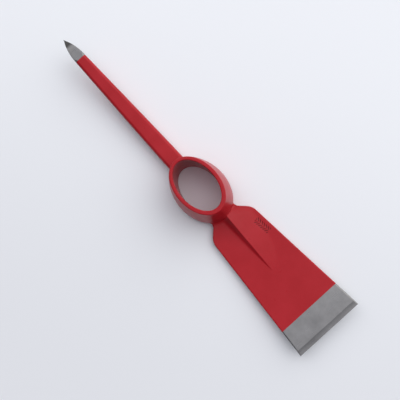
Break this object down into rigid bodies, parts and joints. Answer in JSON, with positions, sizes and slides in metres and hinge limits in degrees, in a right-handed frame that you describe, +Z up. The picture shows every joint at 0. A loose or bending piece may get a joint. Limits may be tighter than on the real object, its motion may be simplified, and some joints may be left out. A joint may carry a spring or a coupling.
{
  "type": "pick mattock head",
  "caption": "Forged pick mattock head without its handle: oval tapered eye, pick arm with a bare point, ribbed adze blade with a bare cutting bit.",
  "frame": {"origin": "under the middle of the head's length, on the plane that the eye's wide base rests on", "axes": "+X along the head from the pick's point to the adze's cutting edge, +Y across it, +Z up out of the eye's narrow rim, the way the handle leaves"},
  "size_m": [0.4931, 0.092, 0.055],
  "materials": {
    "red_enamel": "satin red enamel over forged steel",
    "ground_steel": "bare ground steel"
  },
  "bodies": {
    "root": {"eye_socket": "red_enamel", "pick_arm": "red_enamel", "pick_point": "ground_steel", "adze_blade": "red_enamel", "blade_rib": "red_enamel", "cutting_bit": "ground_steel"}
  },
  "joints": []
}
